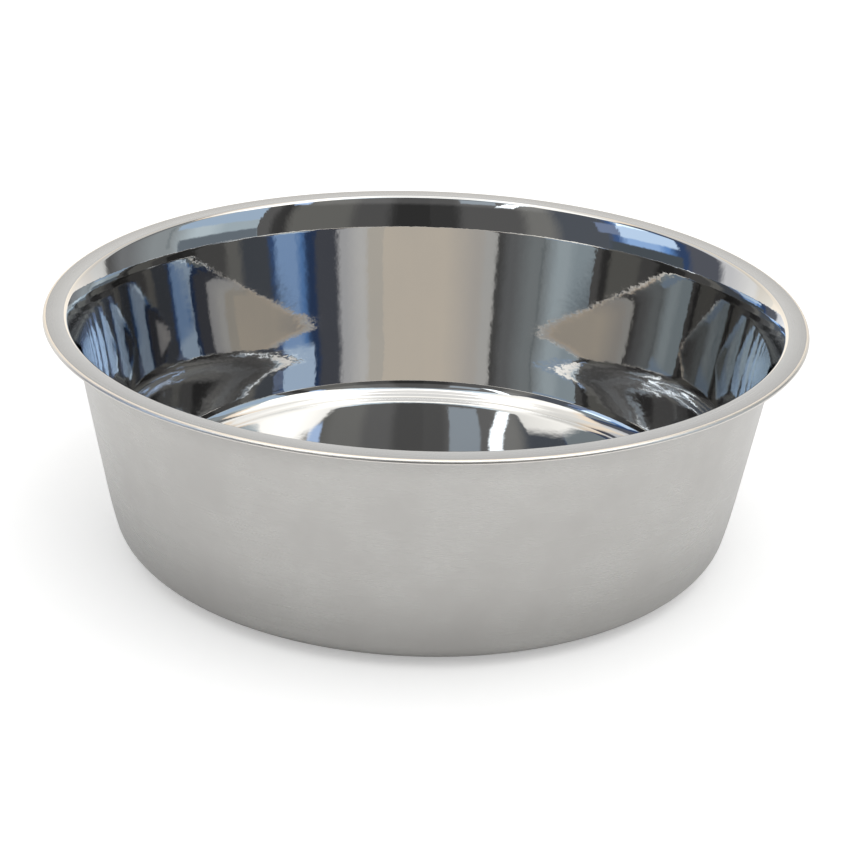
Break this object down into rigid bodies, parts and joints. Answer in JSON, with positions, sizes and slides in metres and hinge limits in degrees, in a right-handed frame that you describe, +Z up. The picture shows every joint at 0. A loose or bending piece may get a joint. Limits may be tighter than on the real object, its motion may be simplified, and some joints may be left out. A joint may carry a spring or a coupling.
{
  "type": "pet bowl",
  "caption": "Round stainless steel pet bowl with a flat lip, a leaning wall, a flat floor and a non-skid rubber ring bonded under its base.",
  "frame": {"origin": "middle of the face that the bowl stands on, which is the underside of its rubber ring", "axes": "+Z up along the bowl's axis, out of its mouth; X and Y are alike, because the bowl is round"},
  "size_m": [0.241, 0.241, 0.0766],
  "materials": {
    "steel": "polished inside and on the lip, satin outside",
    "rubber": "matt moulded rubber",
    "adhesive": "cured silicone film"
  },
  "bodies": {
    "root": {"bowl_shell": "steel", "non_skid_ring": "rubber", "ring_bond": "adhesive"}
  },
  "joints": []
}
